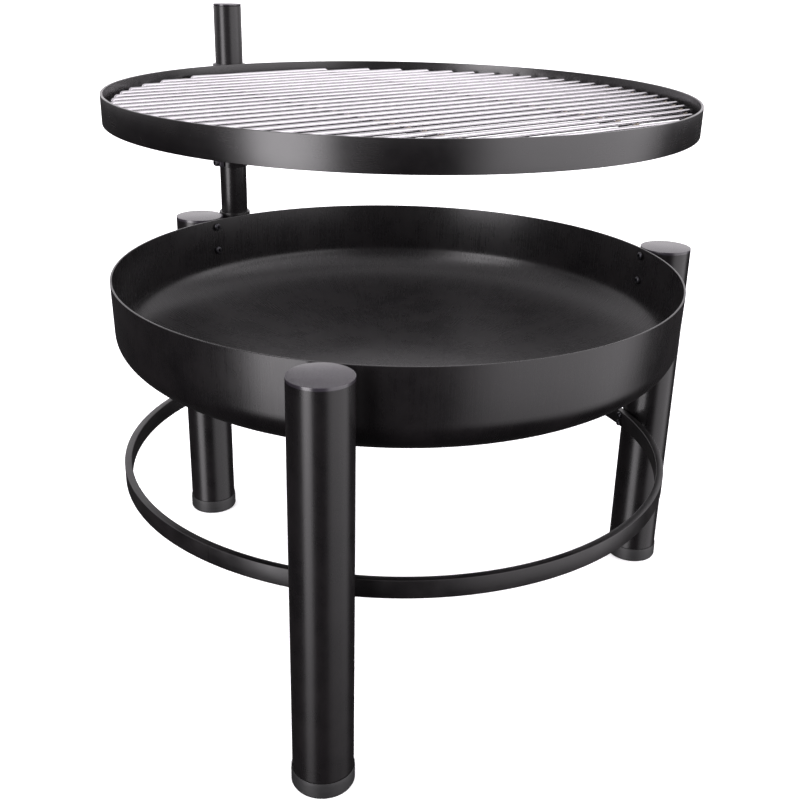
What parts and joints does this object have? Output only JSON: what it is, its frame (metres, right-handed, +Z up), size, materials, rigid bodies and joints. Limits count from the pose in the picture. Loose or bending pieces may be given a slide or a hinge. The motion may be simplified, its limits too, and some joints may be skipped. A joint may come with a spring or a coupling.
{
  "type": "fire pit with swing grate",
  "caption": "Round steel fire bowl on tube legs with a lower hoop, and a round cooking grate that swings and slides on a side mast.",
  "frame": {"origin": "centre of the bounding box on the floor plane, under the feet", "axes": "+Z up; -Y towards the front leg; the mast stands at the back left, at -X +Y"},
  "size_m": [0.7426, 0.7686, 0.7635],
  "materials": {
    "black_paint": "satin black high-temperature paint on mild steel",
    "black_plastic": "moulded black plastic",
    "black_bolt": "black-finished steel fastener",
    "bright_steel": "bright stainless round rod"
  },
  "bodies": {
    "stand": {"fire_bowl": "black_paint", "leg_tube_front": "black_paint", "leg_tube_right": "black_paint", "leg_tube_left": "black_paint", "leg_cap_front": "black_paint", "leg_cap_right": "black_paint", "leg_cap_left": "black_paint", "foot_cap_front": "black_plastic", "foot_cap_right": "black_plastic", "foot_cap_left": "black_plastic", "bowl_bolt_front_upper": "black_bolt", "bowl_bolt_front_lower": "black_bolt", "bowl_bolt_right_upper": "black_bolt", "bowl_bolt_right_lower": "black_bolt", "bowl_bolt_left_upper": "black_bolt", "bowl_bolt_left_lower": "black_bolt", "lower_ring": "black_paint", "ring_bolt_front_upper": "black_bolt", "ring_bolt_front_lower": "black_bolt", "ring_bolt_right_upper": "black_bolt", "ring_bolt_right_lower": "black_bolt", "ring_bolt_left_upper": "black_bolt", "ring_bolt_left_lower": "black_bolt", "mast_socket": "black_paint"},
    "mast": {"mast_tube": "black_paint", "mast_cap": "black_paint"},
    "carriage": {"slide_sleeve": "black_paint", "sleeve_collar": "black_paint", "bracket_plate_upper": "black_paint", "bracket_plate_lower": "black_paint", "grate_band": "black_paint", "support_bar": "black_paint", "support_lug_back": "black_paint", "support_lug_front": "black_paint", "set_boss": "black_paint", "set_bolt": "black_bolt", "knob_boss": "black_paint"},
    "grill": {"grill_grid": "bright_steel"},
    "knob": {"clamp_screw": "bright_steel", "clamp_knob": "black_plastic"}
  },
  "joints": [
    {"name": "mast_swing", "type": "hinge", "parent": "stand", "child": "mast", "pos_m": [-0.28848, 0.26577, 0.4], "axis": [0, 0, 1], "continuous": true},
    {"name": "grate_height", "type": "slide", "parent": "mast", "child": "carriage", "axis": [0, 0, 1], "range_m": [-0.065, 0.078]},
    {"name": "grill_lift", "type": "slide", "parent": "carriage", "child": "grill", "axis": [0, 0, 1], "range_m": [0, 0.06]},
    {"name": "clamp_turn", "type": "hinge", "parent": "carriage", "child": "knob", "pos_m": [-0.28848, 0.26577, 0.655], "axis": [-0.9659, 0.2588, 0], "range_deg": [0, 720]}
  ]
}
